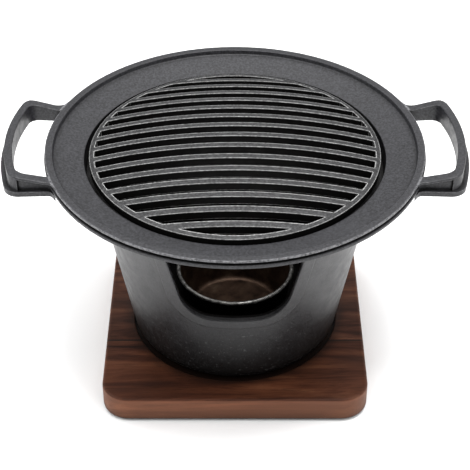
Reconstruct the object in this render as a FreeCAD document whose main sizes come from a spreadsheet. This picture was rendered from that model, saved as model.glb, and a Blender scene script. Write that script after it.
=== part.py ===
import FreeCAD, Part
import os
import Sketcher

# Tabletop grill: wooden board, tapered cast stove, burner cup, round cast pan and domed grate.
# Millimetres. +Z is up, X runs from handle to handle, and the stove's window faces -Y.
# The origin is under the middle of the board, at the height of the table.

os.makedirs("parts", exist_ok=True)
doc = FreeCAD.newDocument("tabletop_grill")

SIZES = {
    # four pads under the board
    "pad_diameter": 12.0,
    "pad_thickness": 1.2,
    "pad_inset": 16.0,
    # wooden board
    "board_side": 145.0,
    "board_thickness": 15.0,
    "board_corner": 15.0,
    "board_edge": 1.5,
    "recess_radius": 58.1,
    "recess_depth": 2.0,
    # tapered stove body
    "stove_height": 102.5,
    "stove_top_radius": 75.0,
    "stove_base_radius": 56.4,
    "stove_wall": 3.4,
    "stove_floor": 4.0,
    "stove_bottom_round": 11.0,
    # U-shaped window in its front, with a raised border
    "window_top_width": 76.6,
    "window_bottom_width": 51.4,
    "window_sill": 54.0,
    "window_corner": 17.0,
    "border_width": 6.0,
    "border_proud": 1.7,
    "border_round": 0.5,
    "border_root": 1.0,
    # burner cup
    "cup_height": 32.5,
    "cup_rim_radius": 33.0,
    "cup_base_radius": 28.0,
    "cup_wall": 1.0,
    "cup_bead": 1.1,
    "cup_round": 4.0,
    # pan, levels measured down from the top of its bead
    "rim_radius": 100.0,
    "bead_width": 4.0,
    "bead_depth": 2.6,
    "bead_draft": 0.5,
    "bead_face": 1.1,
    "groove_top": 1.6,
    "groove_foot": 2.3,
    "rim_groove": 1.3,
    "rim_lip": 0.4,
    "lip_top": 2.9,
    "lip_chamfer": 0.6,
    "rim_thickness": 4.9,
    "casting_round": 0.35,
    "well_radius": 79.7,
    "well_edge_drop": 6.3,
    "well_depth": 14.5,
    "well_draft": 0.7,
    "well_foot_draft": 1.0,
    "pan_wall": 3.0,
    "fire_hole_radius": 65.0,
    "drip_lip_height": 2.3,
    "drip_lip_width": 2.8,
    "spigot_radius": 70.4,
    "spigot_depth": 4.0,
    "spigot_wall": 2.8,
    # loop handles, one casting with the pan; reach is along X, half is each way along Y
    "handle_reach": 120.8,
    "handle_corner_reach": 114.0,
    "handle_corner_half": 37.2,
    "handle_root_reach": 93.8,
    "handle_root_half": 36.3,
    "handle_heel_reach": 88.9,
    "handle_heel_half": 44.8,
    "handle_buried_reach": 80.0,
    "handle_rise": 3.7,
    "handle_depth": 11.5,
    "ramp_start": 97.0,
    "ramp_end": 112.0,
    "handle_corner_round": 7.0,
    "handle_root_round": 4.0,
    "handle_panel": 1.3,
    "panel_start": 110.6,
    "grip_panel_half": 27.0,
    "band_height": 1.3,
    "lip_height": 2.8,
    "handle_lip": 1.1,
    "grip_flare": 1.2,
    "handle_edge": 0.7,
    # finger hole through each handle
    "grip_width": 4.4,
    "finger_corner_reach": 111.0,
    "finger_corner_half": 32.2,
    "finger_root_reach": 90.0,
    "finger_root_half": 30.6,
    "finger_corner_round": 5.0,
    "finger_relief": 1.8,
    # domed grate, standing in the pan
    "grate_radius": 77.0,
    "grate_edge_drop": 5.0,
    "grate_dome": 10.5,
    "grate_thickness": 4.5,
    "slot_pitch": 9.6,
    "slot_width": 6.0,
    "slot_reach": 74.4,
    "grate_foot_length": 12.0,
    "grate_foot_width": 4.0,
    "grate_foot_overlap": 1.0,
}
SLOTS_EACH_SIDE = 8

sheet = doc.addObject("Spreadsheet::Sheet", "Sizes")
for row, (alias, value) in enumerate(SIZES.items(), start=1):
    sheet.set(f"A{row}", alias)
    sheet.set(f"B{row}", str(value))
    sheet.setAlias(f"B{row}", alias)
doc.recompute()


def size(formula):
    """The number that a formula of the sheet's names gives, in millimetres."""
    value = sheet.evalExpression(formula)
    return float(getattr(value, "Value", value))


def linked(formula):
    """The same formula as other objects have to write it."""
    words = formula.replace("(", " ( ").replace(")", " ) ").split()
    return " ".join(f"Sizes.{word}" if word in SIZES else word for word in words)


def bind(target, **formulas):
    for name, formula in formulas.items():
        target.setExpression(name.replace("__", "."), linked(formula))


def new_body(name):
    return doc.addObject("PartDesign::Body", name)


def origin_plane(body, role):
    return next(item for item in body.Origin.OriginFeatures if item.Role == role)


def new_sketch(body, name, role):
    sketch = body.newObject("Sketcher::SketchObject", name)
    sketch.AttachmentSupport = [(origin_plane(body, role), "")]
    sketch.MapMode = "FlatFace"
    return sketch


def pin(sketch, edge, end, x_formula, y_formula, tag):
    """Hold one end of a sketch edge at a place given by two formulas."""
    for axis, formula in (("X", x_formula), ("Y", y_formula)):
        label = f"{axis.lower()}_{tag}"
        row = sketch.addConstraint(
            Sketcher.Constraint(f"Distance{axis}", -1, 1, edge, end, size(formula)))
        sketch.renameConstraint(row, label)
        sketch.setExpression(f"Constraints.{label}", linked(formula))


def outline(sketch, corners, arcs=()):
    """A closed outline through corners, each an (x, y) pair of formulas.

    arcs gives, for the number of the corner where it starts, the formulas of a point that the arc
    to the next corner passes through.
    """
    arcs = dict(arcs)
    places = [FreeCAD.Vector(size(x), size(y), 0) for x, y in corners]
    count = len(corners)
    for number, start in enumerate(places):
        end = places[(number + 1) % count]
        if number in arcs:
            middle = FreeCAD.Vector(*(size(part) for part in arcs[number]), 0)
            sketch.addGeometry(Part.Arc(start, middle, end), False)
        else:
            sketch.addGeometry(Part.LineSegment(start, end), False)
    for number, (x, y) in enumerate(corners):
        pin(sketch, number, arc_end(sketch, number, places[number]), x, y, str(number))
        follower = (number + 1) % count
        sketch.addConstraint(Sketcher.Constraint(
            "Coincident", number, arc_end(sketch, number, places[follower]),
            follower, arc_end(sketch, follower, places[follower])))
        if number in arcs:
            radius = sketch.Geometry[number].Radius
            sketch.addConstraint(Sketcher.Constraint("Radius", number, radius))


def arc_end(sketch, edge, place):
    """Which end of a sketch edge, 1 or 2, lies at a place. An arc may run the other way."""
    return 1 if sketch.getPoint(edge, 1).distanceToPoint(place) < 1e-6 else 2


def pad(body, name, sketch, length, backwards=False, both_ways=False, draft=None):
    feature = body.newObject("PartDesign::Pad", name)
    feature.Profile = sketch
    feature.Reversed = backwards
    if both_ways:
        feature.SideType = "Symmetric"
    bind(feature, Length=length)
    if draft:
        bind(feature, TaperAngle=draft)
    return feature


def revolve(body, name, sketch):
    feature = body.newObject("PartDesign::Revolution", name)
    feature.Profile = sketch
    feature.ReferenceAxis = (sketch, ["V_Axis"])
    feature.Angle = 360
    return feature


def turned(name, corners, arcs=()):
    """A body turned about Z from a half section given as (radius, height) formulas."""
    body = new_body(name)
    section = new_sketch(body, f"{name}_section", "XZ_Plane")
    outline(section, corners, arcs)
    revolve(body, f"{name}_turning", section)
    return body


def prism(name, role, corners, length, arcs=(), level="0", **options):
    """A body padded from an outline on one of its origin planes, or level above that plane."""
    body = new_body(name)
    sketch = new_sketch(body, f"{name}_outline", role)
    bind(sketch, AttachmentOffset__Base__z=level)
    outline(sketch, corners, arcs)
    pad(body, f"{name}_pad", sketch, length, **options)
    return body


def edges_where(shape, wanted):
    return [f"Edge{number}" for number, edge in enumerate(shape.Edges, start=1) if wanted(edge)]


def round_off(body, name, radius, wanted):
    """Round the edges of a body's tip that the wanted test picks."""
    doc.recompute()
    tip = body.Tip
    names = edges_where(tip.Shape, wanted)
    if not names:
        raise RuntimeError(f"{name}: no edge to round")
    feature = body.newObject("PartDesign::Fillet", name)
    feature.Base = (tip, names)
    bind(feature, Radius=radius)
    doc.recompute()
    return feature


def combine(kind, name, first, second):
    feature = doc.addObject(f"Part::{kind}", name)
    feature.Base = first
    feature.Tool = second
    return feature


def finished(source, name):
    """A body that takes a boolean result as its base, so that its edges can be rounded."""
    body = new_body(name)
    body.BaseFeature = source
    doc.recompute()
    return body


def middle(edge):
    return edge.valueAt((edge.FirstParameter + edge.LastParameter) / 2)


def is_upright(edge):
    return edge.BoundBox.ZLength > edge.BoundBox.XLength + edge.BoundBox.YLength


def is_ring(edge, radius, height, slack=0.05):
    """True for a whole circle about Z of this radius at this height."""
    box = edge.BoundBox
    flat = box.ZLength < slack and abs(box.ZMin - height) < slack
    return flat and abs(box.XMax - radius) < slack and abs(box.YMax - radius) < slack


RIM_TOP = ("pad_thickness + board_thickness - recess_depth + stove_height"
           " + well_depth + pan_wall")


def place(target, height):
    bind(target, **{"Placement__Base__z": height})


# ---------------------------------------------------------------- board and pads
def make_board():
    half = "board_side / 2"
    body = prism("base_board", "XY_Plane",
                 [(f"0 - {half}", f"0 - {half}"), (half, f"0 - {half}"),
                  (half, half), (f"0 - {half}", half)], "board_thickness")
    round_off(body, "board_corners", "board_corner",
              lambda edge: edge.BoundBox.ZLength > size("board_thickness") / 2)
    round_off(body, "board_eased_edges", "board_edge",
              lambda edge: edge.BoundBox.ZLength < 0.01)
    recess = new_sketch(body, "recess_outline", "XY_Plane")
    recess.addGeometry(Part.Circle(FreeCAD.Vector(0, 0, 0), FreeCAD.Vector(0, 0, 1),
                                   size("recess_radius")), False)
    recess.addConstraint(Sketcher.Constraint("Coincident", 0, 3, -1, 1))
    row = recess.addConstraint(Sketcher.Constraint("Radius", 0, size("recess_radius")))
    recess.renameConstraint(row, "reach")
    recess.setExpression("Constraints.reach", linked("recess_radius"))
    bind(recess, AttachmentOffset__Base__z="board_thickness - recess_depth")
    cut = body.newObject("PartDesign::Pocket", "stove_recess")
    cut.Profile = recess
    cut.Reversed = True
    bind(cut, Length="recess_depth + 1")
    place(body, "pad_thickness")
    return body


def make_pads():
    offset = "board_side / 2 - pad_inset"
    pads = []
    for end, y_sign in (("front", "0 -"), ("rear", "0 +")):
        for side, x_sign in (("left", "0 -"), ("right", "0 +")):
            foot = doc.addObject("Part::Cylinder", f"foot_pad_{end}_{side}")
            bind(foot, Radius="pad_diameter / 2", Height="pad_thickness",
                 Placement__Base__x=f"{x_sign} ( {offset} )",
                 Placement__Base__y=f"{y_sign} ( {offset} )")
            pads.append(foot)
    return pads


# ---------------------------------------------------------------- stove body
def window_outline(name, extra):
    """The U of the window, widened by extra all round and open above the stove's top edge."""
    top = "stove_height + border_width"
    body = prism(name, "XZ_Plane",
                 [(f"0 - window_top_width / 2 - {extra}", top),
                  (f"0 - window_bottom_width / 2 - {extra}", f"window_sill - {extra}"),
                  (f"window_bottom_width / 2 + {extra}", f"window_sill - {extra}"),
                  (f"window_top_width / 2 + {extra}", top)], "stove_top_radius * 2")
    round_off(body, f"{name}_corners", f"window_corner + {extra}",
              lambda edge: edge.BoundBox.YLength > size("stove_top_radius")
              and middle(edge).z < size("window_sill + 1"))
    return body


def make_stove():
    inner_base = ("stove_base_radius - stove_wall"
                  " + stove_floor * (stove_top_radius - stove_base_radius) / stove_height")
    shell = turned("stove_shell", [
        ("0", "0"), ("stove_base_radius", "0"), ("stove_top_radius", "stove_height"),
        ("stove_top_radius - stove_wall", "stove_height"), (inner_base, "stove_floor"),
        ("0", "stove_floor")])
    round_off(shell, "stove_bottom_edge", "stove_bottom_round",
              lambda edge: is_ring(edge, size("stove_base_radius"), 0))
    round_off(shell, "stove_inner_bottom", "stove_bottom_round - stove_wall",
              lambda edge: is_ring(edge, size(inner_base), size("stove_floor")))
    skin = turned("border_skin", [
        ("stove_base_radius - border_root", "0"), ("stove_base_radius + border_proud", "0"),
        ("stove_top_radius + border_proud", "stove_height"),
        ("stove_top_radius - border_root", "stove_height")])
    border = combine("Common", "window_border", skin, window_outline("border_block", "border_width"))
    bordered = combine("Fuse", "bordered_stove", shell, border)
    pierced = combine("Cut", "pierced_stove", bordered, window_outline("window_block", "0"))
    body = finished(pierced, "stove_body")
    lowest = size("window_sill - border_width - 1")
    front = 0 - size("stove_base_radius / 2")
    round_off(body, "window_edges", "border_round",
              lambda edge: edge.BoundBox.ZLength > size("border_round") and edge.Length > size(
                  "border_width - 1") and middle(edge).y < front and middle(edge).z > lowest)
    place(body, "pad_thickness + board_thickness - recess_depth")
    return body


# ---------------------------------------------------------------- burner cup
def make_cup():
    bead_height = "cup_height - cup_bead"
    body = turned("burner_cup", [
        ("0", "0"), ("cup_base_radius", "0"), ("cup_rim_radius - cup_bead", bead_height),
        ("cup_rim_radius - cup_bead - cup_wall", bead_height),
        ("cup_base_radius - cup_wall", "cup_wall"), ("0", "cup_wall")])
    round_off(body, "cup_outer_bottom", "cup_round",
              lambda edge: is_ring(edge, size("cup_base_radius"), 0))
    round_off(body, "cup_inner_bottom", "cup_round - cup_wall",
              lambda edge: is_ring(edge, size("cup_base_radius - cup_wall"), size("cup_wall")))
    rolled = new_sketch(body, "rolled_rim_section", "XZ_Plane")
    centre = FreeCAD.Vector(size("cup_rim_radius - cup_bead"), size(bead_height), 0)
    rolled.addGeometry(Part.Circle(centre, FreeCAD.Vector(0, 0, 1), size("cup_bead")), False)
    pin(rolled, 0, 3, "cup_rim_radius - cup_bead", bead_height, "centre")
    row = rolled.addConstraint(Sketcher.Constraint("Radius", 0, size("cup_bead")))
    rolled.renameConstraint(row, "bead")
    rolled.setExpression("Constraints.bead", linked("cup_bead"))
    revolve(body, "rolled_rim", rolled)
    place(body, "pad_thickness + board_thickness - recess_depth + stove_floor")
    return body


# ---------------------------------------------------------------- pan
def make_dish():
    """The round part of the pan. Heights count from the top of its bead."""
    floor = "0 - well_depth"
    under = "0 - well_depth - pan_wall"
    inner = "rim_radius - bead_width"
    groove = "rim_radius - rim_groove"
    lip = "rim_radius + rim_lip"
    lip_foot = "lip_chamfer - rim_thickness"
    rim_foot = ("rim_radius - rim_lip", "0 - rim_thickness")
    well_foot = ("well_radius + pan_wall - well_foot_draft", under)
    bead_foot = (f"{inner} - bead_draft", "0 - bead_depth")
    flange_root = ("well_radius + pan_wall", "0 - well_edge_drop - pan_wall")
    spigot_foot = ("spigot_radius", f"{under} - spigot_depth")
    drip_lip_top = f"{floor} + drip_lip_height"
    body = turned("pan_dish", [
        (inner, "0"), ("rim_radius", "0"), ("rim_radius", "0 - bead_face"),
        (groove, "0 - groove_top"), (groove, "0 - groove_foot"), (lip, "0 - lip_top"),
        (lip, lip_foot), rim_foot, flange_root, well_foot, ("spigot_radius", under), spigot_foot,
        ("spigot_radius - spigot_wall", f"{under} - spigot_depth"), ("fire_hole_radius", under),
        ("fire_hole_radius", drip_lip_top), ("fire_hole_radius + drip_lip_width", drip_lip_top),
        ("fire_hole_radius + drip_lip_width", floor), ("well_radius - well_draft", floor),
        ("well_radius", "0 - well_edge_drop"), bead_foot])
    soft_rings = [(inner, "0"), ("rim_radius", "0"), (lip, "0 - lip_top"), (lip, lip_foot),
                  rim_foot, ("well_radius", "0 - well_edge_drop"), spigot_foot, well_foot,
                  ("fire_hole_radius + drip_lip_width", drip_lip_top),
                  ("fire_hole_radius", drip_lip_top)]
    round_off(body, "dish_edges", "casting_round", lambda edge: any(
        is_ring(edge, size(radius), size(height)) for radius, height in soft_rings))
    round_off(body, "bead_foot", "casting_round * 2",
              lambda edge: is_ring(edge, size(bead_foot[0]), size(bead_foot[1])))
    round_off(body, "flange_root", "casting_round * 8",
              lambda edge: is_ring(edge, size(flange_root[0]), size(flange_root[1])))
    return body


def handle_plan(name, inset, length, flare="0", **options):
    """The plan of one loop handle on +X, with its sides moved in by inset.

    Its heel runs along a tangent of the rim, then turns into the leg, and the grip between the two
    legs is bowed outwards. The grip alone is moved out by flare.
    """
    inset = f"( {inset} )"
    root = f"handle_root_half - {inset}"
    corner = f"handle_corner_half - {inset}"
    corner_reach = f"handle_corner_reach - {inset} + {flare}"
    body = prism(name, "XY_Plane", [
        ("handle_buried_reach", "0 - handle_heel_half"), ("handle_heel_reach", "0 - handle_heel_half"),
        ("handle_root_reach", f"0 - ( {root} )"), (corner_reach, f"0 - ( {corner} )"),
        (corner_reach, corner), ("handle_root_reach", root),
        ("handle_heel_reach", "handle_heel_half"), ("handle_buried_reach", "handle_heel_half")],
        length, arcs={3: (f"handle_reach - {inset} + {flare}", "0")}, **options)

    def upright_at(reach):
        return lambda edge: edge.BoundBox.ZLength > size(length) / 2 and abs(
            max(edge.Vertexes, key=lambda vertex: vertex.Z).X - size(reach)) < 0.5

    round_off(body, f"{name}_outer_corners", f"handle_corner_round - {inset}",
              upright_at(corner_reach))
    round_off(body, f"{name}_roots", f"handle_root_round + {inset}", upright_at("handle_root_reach"))
    return body


def handle_side(name, lower):
    """The side view of a handle, level at the rim and then rising, with its top moved down."""
    foot = "handle_rise - handle_depth"
    past_grip = "handle_reach + 10"
    return prism(name, "XZ_Plane", [
        ("handle_buried_reach", foot), ("handle_buried_reach", f"0 - {lower}"),
        ("ramp_start", f"0 - {lower}"), ("ramp_end", f"handle_rise - {lower}"),
        (past_grip, f"handle_rise - {lower}"), (past_grip, foot)],
        "handle_heel_half * 3", both_ways=True)


def cylinder(name, radius, bottom, top):
    solid = doc.addObject("Part::Cylinder", name)
    bind(solid, Radius=radius, Height=f"{top} - ( {bottom} )", Placement__Base__z=bottom)
    return solid


def box(name, x, y, z, x_length, y_length, z_length):
    solid = doc.addObject("Part::Box", name)
    bind(solid, Length=x_length, Width=y_length, Height=z_length,
         Placement__Base__x=x, Placement__Base__y=y, Placement__Base__z=z)
    return solid


def make_handle():
    """One loop handle on +X: a web with a flat band along its top and a lip along its foot.

    The web lies back between band and lip, except at the two outer corners, where it is full.
    """
    foot = "handle_rise - handle_depth"
    web = handle_plan("handle_web", "handle_panel", "handle_depth", level="handle_rise",
                      backwards=True)
    lip = handle_plan("handle_lip_bar", "0 - handle_lip", "lip_height", flare="grip_flare",
                      level=foot)
    full = handle_plan("handle_full", "0", "handle_depth", level="handle_rise", backwards=True)
    band = combine("Cut", "handle_band", full, handle_side("below_band", "band_height"))
    corners = box("corner_zone", "panel_start", "0 - handle_heel_half", foot,
                  "handle_reach - panel_start", "handle_heel_half * 2", "handle_depth")
    grip_zone = box("grip_zone", "panel_start", "0 - grip_panel_half", foot,
                    "handle_reach - panel_start", "grip_panel_half * 2", "handle_depth")
    corner_posts = combine("Cut", "corner_posts", combine("Common", "full_end", full, corners),
                           grip_zone)
    solid = doc.addObject("Part::MultiFuse", "handle_solid")
    solid.Shapes = [web, band, lip, corner_posts]
    loop = combine("Common", "handle_loop", solid, handle_side("handle_side", "0"))
    finger = prism("finger_hole", "XY_Plane", [
        ("finger_root_reach", "0 - finger_root_half"),
        ("finger_corner_reach", "0 - finger_corner_half"),
        ("finger_corner_reach", "finger_corner_half"), ("finger_root_reach", "finger_root_half")],
        "handle_depth * 3", both_ways=True, arcs={1: ("handle_reach - grip_width", "0")})
    round_off(finger, "finger_outer_corners", "finger_corner_round",
              lambda edge: is_upright(edge) and middle(edge).x > size("finger_corner_reach - 1"))
    holed = combine("Cut", "holed_handle", loop, finger)
    lip_foot = "lip_chamfer - rim_thickness"
    keep_out = doc.addObject("Part::MultiFuse", "rim_keep_out")
    keep_out.Shapes = [
        cylinder("bead_keep_out", "rim_radius - bead_width / 2", "0 - well_depth", "well_depth"),
        cylinder("above_bead", "rim_radius + rim_lip", "0", "well_depth"),
        cylinder("below_rim", "rim_radius", "0 - well_depth", lip_foot)]
    return combine("Cut", "right_handle", holed, keep_out)


def in_finger_hole(point):
    """True at the sides of a finger hole, which lie within the grip and the legs."""
    return (abs(point.y) < size("finger_corner_half + 0.2")
            and abs(point.x) < size("handle_reach - grip_width + 0.3")
            and abs(point.x) > size("finger_root_reach"))


def make_pan():
    right = make_handle()
    left = doc.addObject("Part::Mirroring", "left_handle")
    left.Source = right
    left.Normal = FreeCAD.Vector(1, 0, 0)
    casting = doc.addObject("Part::MultiFuse", "pan_casting")
    casting.Shapes = [make_dish(), right, left]
    body = finished(casting, "grill_pan")
    top = size("handle_rise")
    foot = size("handle_rise - handle_depth")

    def on_band_top(edge):
        low, high = edge.BoundBox.ZMin, edge.BoundBox.ZMax
        level = low > top - 0.05
        on_ramp = -0.05 < low and high > size("handle_rise - band_height + 0.1")
        runs_along = edge.BoundBox.XLength > 0.1
        return runs_along and (level or (on_ramp and not in_finger_hole(middle(edge))))

    round_off(body, "handle_band_edges", "handle_edge", on_band_top)
    round_off(body, "finger_reliefs", "finger_relief",
              lambda edge: abs(middle(edge).z - foot) < 0.02 and in_finger_hole(middle(edge)))
    place(body, RIM_TOP)
    return body


# ---------------------------------------------------------------- grate
def make_grate():
    """A dome of even thickness with a plain border, slots along X, and four feet in the pan's well."""
    edge_drop = "0 - grate_edge_drop"
    crown = "grate_dome - grate_edge_drop"
    middle_rise = "grate_dome * 3 / 4 - grate_edge_drop"
    middle_reach = "grate_radius / 2"
    dome = turned("grate_dome_body", [
        ("0", f"{crown} - grate_thickness"), ("grate_radius", f"{edge_drop} - grate_thickness"),
        ("grate_radius", edge_drop), ("0", crown)],
        arcs={0: (middle_reach, f"{middle_rise} - grate_thickness"),
              2: (middle_reach, middle_rise)})
    bars = doc.addObject("Part::MultiFuse", "slot_bars")
    bars.Shapes = [
        box(f"slot_bar_{number + 1}", "0 - grate_radius",
            f"slot_pitch * {number - SLOTS_EACH_SIDE + 0.5} - slot_width / 2", "0 - well_depth",
            "grate_radius * 2", "slot_width", "well_depth * 2")
        for number in range(2 * SLOTS_EACH_SIDE)]
    reach = cylinder("slot_reach_disc", "slot_reach", "0 - well_depth", "well_depth")
    slots = combine("Common", "slots", bars, reach)
    slotted = combine("Cut", "slotted_dome", dome, slots)
    foot_top = "0 - grate_edge_drop - grate_thickness + grate_foot_overlap"
    feet = doc.addObject("Part::MultiFuse", "grate_feet")
    feet.Shapes = [
        box(f"grate_foot_{side}", f"0 {sign} ( slot_reach - grate_foot_width )"
            + (" - grate_foot_width" if side == "left" else ""),
            "0 - grate_foot_length / 2", "0 - well_depth",
            "grate_foot_width", "grate_foot_length", f"{foot_top} + well_depth")
        for side, sign in (("right", "+"), ("left", "-"))]
    feet.Shapes += [
        box(f"grate_foot_{end}", "0 - grate_foot_length / 2",
            f"0 {sign} ( slot_reach - grate_foot_width )"
            + (" - grate_foot_width" if end == "front" else ""), "0 - well_depth",
            "grate_foot_length", "grate_foot_width", f"{foot_top} + well_depth")
        for end, sign in (("rear", "+"), ("front", "-"))]
    casting = combine("Fuse", "grate_casting", slotted, feet)
    body = finished(casting, "grill_grate")
    place(body, RIM_TOP)
    return body


def check_and_save(pieces):
    doc.recompute()
    for item in doc.Objects:
        if {"Invalid", "Error"} & set(item.State):
            raise RuntimeError(f"{item.Name} failed: {item.State}")
    for piece in pieces:
        shape = piece.Shape
        if shape.isNull() or not shape.isValid() or not shape.Solids:
            raise RuntimeError(f"{piece.Label} has no sound solid")
        shape.exportStep(f"parts/{piece.Label}.step")
        print(piece.Label, len(shape.Solids), "solid", round(shape.Volume), "mm3",
              shape.optimalBoundingBox())


check_and_save([make_board(), *make_pads(), make_stove(), make_cup(), make_pan(), make_grate()])
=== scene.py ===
import math

import bpy
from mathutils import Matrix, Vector


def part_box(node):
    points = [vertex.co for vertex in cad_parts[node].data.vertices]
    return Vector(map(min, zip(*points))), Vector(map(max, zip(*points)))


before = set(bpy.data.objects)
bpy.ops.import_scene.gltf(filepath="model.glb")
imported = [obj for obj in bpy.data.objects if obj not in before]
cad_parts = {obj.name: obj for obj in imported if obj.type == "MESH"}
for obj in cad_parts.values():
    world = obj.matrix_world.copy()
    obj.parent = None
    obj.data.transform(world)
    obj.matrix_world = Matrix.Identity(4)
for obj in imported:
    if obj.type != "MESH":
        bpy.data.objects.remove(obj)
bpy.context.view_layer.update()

# Sizes in metres. The pan's bead stands RIM_TOP high, below the tops of the handles and the grate.
MM = 0.001
STOVE_LOW, STOVE_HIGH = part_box("stove_body")
CUP_LOW, CUP_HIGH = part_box("burner_cup")
RIM_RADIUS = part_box("grill_pan")[1].y
RIM_TOP = STOVE_HIGH.z + 17.5 * MM
STOVE_BASE_RADIUS, STOVE_TOP_RADIUS = 56.4 * MM, STOVE_HIGH.x
CUP_BASE_RADIUS, CUP_TOP_RADIUS = 28 * MM, CUP_HIGH.x
PLANK_SEAM = -24.6 * MM


# ---------------------------------------------------------------- node helpers
class Shader:
    """A Principled material being built, with short calls for the nodes that it needs."""

    def __init__(self, name, roughness=0.5, metallic=0.0, specular=0.5):
        self.material = bpy.data.materials.new(name)
        self.material.use_nodes = True
        self.tree = self.material.node_tree
        self.surface = self.tree.nodes["Principled BSDF"]
        self.surface.inputs["Roughness"].default_value = roughness
        self.surface.inputs["Metallic"].default_value = metallic
        self.surface.inputs["Specular IOR Level"].default_value = specular
        self.place = self.add("ShaderNodeTexCoord").outputs["Object"]

    def add(self, kind, **settings):
        node = self.tree.nodes.new(kind)
        for name, value in settings.items():
            setattr(node, name, value)
        return node

    def wire(self, source, target):
        if isinstance(source, (int, float)):
            target.default_value = source
        elif isinstance(source, tuple):
            target.default_value = (*source, 1.0) if len(target.default_value) == 4 else source
        else:
            self.tree.links.new(source, target)

    def math(self, operation, first, second=0.0):
        node = self.add("ShaderNodeMath", operation=operation)
        self.wire(first, node.inputs[0])
        self.wire(second, node.inputs[1])
        return node.outputs[0]

    def product(self, first, second):
        return self.math("MULTIPLY", first, second)

    def stretched(self, x, y, z, source=None):
        node = self.add("ShaderNodeMapping")
        self.wire(source or self.place, node.inputs["Vector"])
        node.inputs["Scale"].default_value = (x, y, z)
        return node.outputs["Vector"]

    def noise(self, per_metre, detail=3.0, roughness=0.5, distortion=0.0, at=None):
        node = self.add("ShaderNodeTexNoise")
        self.wire(at or self.place, node.inputs["Vector"])
        node.inputs["Scale"].default_value = per_metre
        node.inputs["Detail"].default_value = detail
        node.inputs["Roughness"].default_value = roughness
        node.inputs["Distortion"].default_value = distortion
        return node.outputs["Fac"]

    def ramp(self, value, *stops):
        """stops are (position, colour) pairs; a colour is a grey number or an (r, g, b)."""
        node = self.add("ShaderNodeValToRGB")
        self.wire(value, node.inputs["Fac"])
        band = node.color_ramp
        while len(band.elements) < len(stops):
            band.elements.new(0.5)
        for element, (position, colour) in zip(band.elements, stops):
            element.position = position
            element.color = (*colour, 1.0) if isinstance(colour, tuple) else (colour,) * 3 + (1.0,)
        return node.outputs["Color"]

    def spread(self, value, low, high, to_low=0.0, to_high=1.0):
        """Maps low..high to to_low..to_high and clamps; low may be the larger number."""
        node = self.add("ShaderNodeMapRange", clamp=True)
        self.wire(value, node.inputs["Value"])
        for name, number in (("From Min", low), ("From Max", high),
                             ("To Min", to_low), ("To Max", to_high)):
            self.wire(number, node.inputs[name])
        return node.outputs["Result"]

    def blend(self, factor, first, second, mode="MIX"):
        """The first colour at factor 0, the second at factor 1."""
        node = self.add("ShaderNodeMix", data_type="RGBA", blend_type=mode)
        self.wire(factor, node.inputs[0])
        self.wire(first, node.inputs[6])
        self.wire(second, node.inputs[7])
        return node.outputs[2]

    def axes(self):
        node = self.add("ShaderNodeSeparateXYZ")
        self.wire(self.place, node.inputs[0])
        return node.outputs[0], node.outputs[1], node.outputs[2]

    def height(self):
        return self.axes()[2]

    def radius(self):
        x, y, _ = self.axes()
        return self.math("SQRT", self.math("ADD", self.product(x, x), self.product(y, y)))

    def sharp_edges(self, radius):
        """1 on sharp edges, 0 on flat faces, with the rounded normal that goes with it."""
        soft = self.add("ShaderNodeBevel", samples=8)
        soft.inputs["Radius"].default_value = radius
        true = self.add("ShaderNodeNewGeometry")
        dot = self.add("ShaderNodeVectorMath", operation="DOT_PRODUCT")
        self.wire(soft.outputs["Normal"], dot.inputs[0])
        self.wire(true.outputs["Normal"], dot.inputs[1])
        return self.spread(dot.outputs["Value"], 0.985, 0.86), soft.outputs["Normal"]

    def crevice(self, reach):
        """0 deep in a crease, 1 on open faces."""
        node = self.add("ShaderNodeAmbientOcclusion", samples=8)
        node.inputs["Distance"].default_value = reach
        return node.outputs["AO"]

    def upward(self):
        """1 on level faces, 0 on walls."""
        node = self.add("ShaderNodeNewGeometry")
        split = self.add("ShaderNodeSeparateXYZ")
        self.wire(node.outputs["True Normal"], split.inputs[0])
        return self.spread(self.math("ABSOLUTE", split.outputs[2]), 0.25, 0.6)

    def bump(self, height, depth, strength=1.0, before=None):
        node = self.add("ShaderNodeBump")
        node.inputs["Strength"].default_value = strength
        node.inputs["Distance"].default_value = depth
        self.wire(height, node.inputs["Height"])
        if before is not None:
            self.wire(before, node.inputs["Normal"])
        return node.outputs["Normal"]

    def colour(self, value):
        self.wire(value, self.surface.inputs["Base Color"])

    def rough(self, value):
        self.wire(value, self.surface.inputs["Roughness"])

    def shine(self, value):
        self.wire(value, self.surface.inputs["Specular IOR Level"])

    def normal(self, value):
        self.wire(value, self.surface.inputs["Normal"])


# ---------------------------------------------------------------- materials
# Near-black for real soot, and for painted shade in creases, slot walls and under the pan.
SOOT_AND_SHADE = (0.0035, 0.0033, 0.0032)


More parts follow.
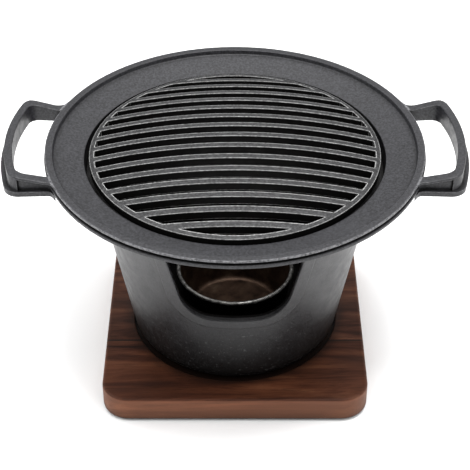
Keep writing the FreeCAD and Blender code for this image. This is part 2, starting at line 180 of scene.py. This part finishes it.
def pan_material():
    """Charcoal cooking coat with a fine speckle, lighter along the edges (part wear, part painted
    highlight), a painted glint on the bead's outer top edge and painted shade in creases.
    """
    shader = Shader("pan_coating")
    speckle = shader.spread(shader.noise(820, detail=2, roughness=0.7), 0.38, 0.66)
    tone = shader.blend(speckle, (0.006, 0.006, 0.0072), (0.034, 0.034, 0.039))
    tone = shader.blend(shader.spread(shader.noise(38, detail=4), 0.35, 0.8, 0.0, 0.25),
                        tone, (0.036, 0.036, 0.041))
    # Lighter along sharp edges: part wear, part painted highlight.
    edge_wear_and_glint, soft = shader.sharp_edges(0.5 * MM)
    radius, height = shader.radius(), shader.height()
    # Painted highlight: a bright glint line painted along the outer top edge of the bead.
    painted_rim_glint = shader.product(shader.spread(radius, RIM_RADIUS - 1.2 * MM, RIM_RADIUS - 0.5 * MM),
                          shader.math("LESS_THAN", radius, RIM_RADIUS + 0.3 * MM))
    painted_rim_glint = shader.product(painted_rim_glint, shader.spread(height, RIM_TOP - 1.5 * MM, RIM_TOP - 1.0 * MM))
    wear_and_glint_flecks = shader.spread(shader.noise(800, detail=2, roughness=0.7), 0.36, 0.62, 0.1, 1.0)
    edge_wear_and_glint = shader.product(shader.math("MAXIMUM", edge_wear_and_glint, painted_rim_glint), wear_and_glint_flecks)
    tone = shader.blend(shader.product(edge_wear_and_glint, 0.9), tone, (0.19, 0.19, 0.20))
    # Painted shade: creases darkened to near-black.
    open_face = shader.spread(shader.crevice(4 * MM), 0.45, 0.95)
    # Near-black below the skirt: soot and painted shade under the pan.
    under = shader.spread(height, RIM_TOP - 9 * MM, RIM_TOP - 12 * MM)
    tone = shader.blend(open_face, SOOT_AND_SHADE, tone)
    shader.colour(shader.blend(under, tone, SOOT_AND_SHADE))
    shader.rough(shader.spread(shader.noise(240, detail=3), 0.3, 0.7, 0.36, 0.52))
    shader.shine(shader.spread(open_face, 0.0, 1.0, 0.1, 0.42))
    fine = shader.bump(shader.noise(1100, detail=3, roughness=0.65), 0.07 * MM, before=soft)
    shader.normal(shader.bump(shader.noise(130, detail=2), 0.14 * MM, 0.6, before=fine))
    return shader.material


def grate_material():
    """The same coat, burnt lighter and rougher on top of the bars, lighter along the bar edges
    (part wear, part painted highlight) and near-black on the slot walls (soot and painted shade).
    """
    shader = Shader("grate_coating")
    speckle = shader.spread(shader.noise(900, detail=2, roughness=0.7), 0.42, 0.66)
    tone = shader.blend(speckle, (0.005, 0.005, 0.0055), (0.050, 0.050, 0.052))
    edge_wear_and_glint, soft = shader.sharp_edges(1.0 * MM)
    wear_and_glint_flecks = shader.spread(shader.noise(750, detail=3, roughness=0.7), 0.36, 0.60, 0.25, 1.0)
    # Lighter bar edges: part wear, part painted highlight.
    tone = shader.blend(shader.product(edge_wear_and_glint, wear_and_glint_flecks), tone, (0.58, 0.58, 0.575))
    # Walls, the slot sides, go near-black: painted shade in the slots, with soot.
    top = shader.upward()
    keeps_coat_tone = shader.math("MAXIMUM", top, shader.product(edge_wear_and_glint, 0.8))
    shader.colour(shader.blend(keeps_coat_tone, SOOT_AND_SHADE, tone))
    shader.rough(shader.spread(shader.noise(300, detail=3), 0.3, 0.7, 0.38, 0.6))
    shader.shine(shader.spread(top, 0.0, 1.0, 0.08, 0.36))
    fine = shader.bump(shader.noise(1300, detail=3, roughness=0.65), 0.12 * MM, before=soft)
    shader.normal(shader.bump(shader.noise(420, detail=2), 0.12 * MM, 0.7, before=fine))
    return shader.material


def stove_material():
    """Satin black enamel on a casting, with painted shade towards the foot, painted reflection
    specks low down, lighter edges (part wear, part painted highlight), painted shade in creases,
    and burnt black inside.
    """
    shader = Shader("stove_enamel")
    height = shader.height()
    # Painted shade: the enamel is painted darker towards the foot.
    painted_foot_shade_fade = shader.spread(height, STOVE_LOW.z + 8 * MM, STOVE_LOW.z + 92 * MM)
    cloud = shader.noise(45, detail=4, roughness=0.6)
    upper = shader.ramp(cloud, (0.3, (0.021, 0.021, 0.023)), (0.75, (0.035, 0.034, 0.037)))
    grit = shader.spread(shader.noise(850, detail=2, roughness=0.7), 0.35, 0.68, 0.55, 1.35)
    upper = shader.blend(1.0, upper, grit, "MULTIPLY")
    tone = shader.blend(painted_foot_shade_fade, (0.0035, 0.0033, 0.0033), upper)
    # Painted reflection: light grey specks painted low on the body.
    painted_reflection_specks = shader.spread(shader.noise(560, detail=3, roughness=0.8), 0.60, 0.72)
    low = shader.spread(height, STOVE_LOW.z + 62 * MM, STOVE_LOW.z + 40 * MM, 0.12, 0.42)
    tone = shader.blend(shader.product(painted_reflection_specks, low), tone, (0.12, 0.12, 0.12))
    # Lighter edges: part wear, part painted highlight.
    edge_wear_and_glint, soft = shader.sharp_edges(0.8 * MM)
    tone = shader.blend(shader.product(edge_wear_and_glint, 0.5), tone, (0.12, 0.12, 0.125))
    # Painted shade: creases darkened to near-black.
    open_face = shader.spread(shader.crevice(3 * MM), 0.88, 0.985)
    tone = shader.blend(open_face, SOOT_AND_SHADE, tone)
    skin = shader.spread(height, STOVE_LOW.z, STOVE_HIGH.z,
                         STOVE_BASE_RADIUS - 1.3 * MM, STOVE_TOP_RADIUS - 1.3 * MM)
    inside = shader.math("LESS_THAN", shader.radius(), skin)
    shader.colour(shader.blend(inside, tone, SOOT_AND_SHADE))
    shader.rough(shader.spread(shader.noise(180, detail=4), 0.3, 0.7, 0.30, 0.44))
    shader.shine(shader.product(shader.spread(painted_foot_shade_fade, 0.0, 1.0, 0.10, 0.5),
                                shader.spread(inside, 0.0, 1.0, 1.0, 0.1)))
    cast = shader.bump(shader.noise(900, detail=3, roughness=0.6), 0.045 * MM, before=soft)
    shader.normal(shader.bump(shader.noise(90, detail=2), 0.10 * MM, 0.5, before=cast))
    return shader.material


def wood_material():
    """Oiled walnut: planks glued side by side, with streaks and fine pores along X; side faces
    painted lighter (painted light), edges lighter (part wear, part painted highlight) and painted
    shade in creases.
    """
    shader = Shader("board_wood", specular=0.16)
    _, across, _ = shader.axes()
    front_plank = shader.math("LESS_THAN", across, PLANK_SEAM)
    shift = shader.add("ShaderNodeCombineXYZ")
    shader.wire(shader.product(front_plank, 0.4), shift.inputs[0])
    moved = shader.add("ShaderNodeVectorMath", operation="ADD")
    shader.wire(shader.place, moved.inputs[0])
    shader.wire(shift.outputs[0], moved.inputs[1])
    source = moved.outputs[0]
    broad = shader.noise(9, detail=3, roughness=0.5, distortion=0.6,
                         at=shader.stretched(1.0, 4.0, 4.0, source))
    streak = shader.noise(12, detail=6, roughness=0.6, distortion=0.9,
                          at=shader.stretched(1.0, 8.0, 8.0, source))
    tone = shader.ramp(streak, (0.28, (0.012, 0.0040, 0.0022)), (0.42, (0.050, 0.0150, 0.0068)),
                       (0.56, (0.108, 0.036, 0.0165)), (0.74, (0.200, 0.082, 0.040)))
    tone = shader.blend(shader.spread(broad, 0.34, 0.56, 0.8, 0.0), tone, (0.026, 0.0080, 0.0042))
    pores = shader.noise(90, detail=5, roughness=0.75, at=shader.stretched(1.0, 12.0, 12.0))
    tone = shader.blend(shader.spread(pores, 0.52, 0.72, 0.0, 0.85), tone, (0.014, 0.005, 0.0025))
    gap = shader.math("ABSOLUTE", shader.math("SUBTRACT", across, PLANK_SEAM))
    line = shader.spread(gap, 0.3 * MM, 0.9 * MM)
    tone = shader.blend(line, (0.010, 0.006, 0.004), tone)
    # Painted light: the side faces are painted lighter than the top.
    painted_side_light = shader.math("SUBTRACT", 1.0, shader.upward())
    tone = shader.blend(shader.product(painted_side_light, 0.34), tone, (0.28, 0.120, 0.066))
    # Lighter edges: part wear, part painted highlight.
    edge_wear_and_glint, soft = shader.sharp_edges(0.8 * MM)
    tone = shader.blend(shader.product(edge_wear_and_glint, 0.35), tone, (0.26, 0.13, 0.08))
    # Painted shade: creases such as the stove's recess darkened to near-black.
    open_face = shader.spread(shader.crevice(9 * MM), 0.35, 0.95)
    shader.colour(shader.blend(open_face, (0.006, 0.003, 0.002), tone))
    shader.rough(shader.spread(streak, 0.3, 0.7, 0.62, 0.46))
    grain = shader.bump(pores, 0.10 * MM, 0.8, before=soft)
    shader.normal(shader.bump(streak, 0.12 * MM, 0.6, before=grain))
    return shader.material


def steel_material():
    """Thin pressed steel: bright rolled rim, heat-browned inside, smoked black outside."""
    shader = Shader("cup_steel", metallic=0.85)
    height = shader.height()
    stain = shader.noise(120, detail=5, roughness=0.65)
    brown = shader.ramp(stain, (0.3, (0.018, 0.010, 0.007)), (0.55, (0.060, 0.036, 0.024)),
                        (0.8, (0.12, 0.085, 0.06)))
    rim = shader.spread(height, CUP_HIGH.z - 2.4 * MM, CUP_HIGH.z - 1.6 * MM)
    bright = shader.ramp(shader.noise(500, detail=3), (0.35, (0.09, 0.088, 0.085)),
                         (0.65, (0.34, 0.335, 0.32)))
    wall = shader.spread(height, CUP_LOW.z, CUP_HIGH.z,
                         CUP_BASE_RADIUS - 0.5 * MM, CUP_TOP_RADIUS - 1.6 * MM)
    outside = shader.math("GREATER_THAN", shader.radius(), wall)
    tone = shader.blend(outside, brown, SOOT_AND_SHADE)
    shader.colour(shader.blend(rim, tone, bright))
    shader.rough(shader.spread(stain, 0.3, 0.7, 0.36, 0.62))
    shader.normal(shader.bump(shader.noise(260, detail=3), 0.12 * MM))
    return shader.material


def rubber_material():
    shader = Shader("pad_rubber", roughness=0.85)
    shader.colour(shader.ramp(shader.noise(900, detail=2), (0.3, 0.012), (0.7, 0.022)))
    shader.normal(shader.bump(shader.noise(1600, detail=2), 0.04 * MM))
    return shader.material


def dress(node, material):
    """Give a CAD node one material all over."""
    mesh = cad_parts[node].data
    mesh.materials.clear()
    mesh.materials.append(material)


dress("grill_pan", pan_material())
dress("grill_grate", grate_material())
dress("stove_body", stove_material())
dress("base_board", wood_material())
dress("burner_cup", steel_material())
RUBBER = rubber_material()
for pad in sorted(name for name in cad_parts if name.startswith("foot_pad")):
    dress(pad, RUBBER)


# ---------------------------------------------------------------- floor, light and camera
def make_floor():
    mesh = bpy.data.meshes.new("floor")
    reach = 6.0
    corners = [(-reach, -reach, 0), (reach, -reach, 0), (reach, reach, 0), (-reach, reach, 0)]
    mesh.from_pydata(corners, [], [(0, 1, 2, 3)])
    floor = bpy.data.objects.new("floor", mesh)
    bpy.context.scene.collection.objects.link(floor)
    shader = Shader("studio_floor", roughness=0.9, specular=0.1)
    shader.colour((0.98, 0.98, 0.98))
    mesh.materials.append(shader.material)


def area_light(name, place, target, width, depth, radiance):
    """A soft box that shines evenly with this radiance."""
    light = bpy.data.lights.new(name, "AREA")
    light.shape = "RECTANGLE"
    light.size, light.size_y = width, depth
    light.energy = radiance * math.pi * width * depth
    lamp = bpy.data.objects.new(name, light)
    lamp.location = place
    lamp.rotation_euler = (Vector(target) - Vector(place)).to_track_quat("-Z", "Y").to_euler()
    bpy.context.scene.collection.objects.link(lamp)


def make_world(strength):
    world = bpy.data.worlds.new("studio")
    world.use_nodes = True
    world.node_tree.nodes["Background"].inputs["Color"].default_value = (1, 1, 1, 1)
    world.node_tree.nodes["Background"].inputs["Strength"].default_value = strength
    bpy.context.scene.world = world


def make_camera():
    """Stands before the window side and looks down at the rim, level from left to right."""
    camera = bpy.data.cameras.new("camera")
    camera.sensor_width = 36
    camera.lens = 106.3
    camera.dof.use_dof = False
    body = bpy.data.objects.new("camera", camera)
    body.location = (0.0, -0.608, RIM_TOP + 0.410)
    body.rotation_euler = (math.radians(90 - 37.81), 0, 0)
    bpy.context.scene.collection.objects.link(body)
    bpy.context.scene.camera = body


make_floor()
make_world(0.7)
area_light("overhead", (0, 0.1, 1.6), (0, 0, 0), 2.4, 2.4, 1.9)
area_light("key", (0.1, -0.12, 1.4), (0, 0, 0.1), 0.35, 0.35, 26)
area_light("left_side", (-1.1, -0.25, 0.45), (0, 0, 0.1), 0.7, 0.9, 2.1)
area_light("right_side", (1.1, -0.25, 0.45), (0, 0, 0.1), 0.7, 0.9, 1.5)
make_camera()
bpy.context.scene.view_settings.view_transform = "Standard"
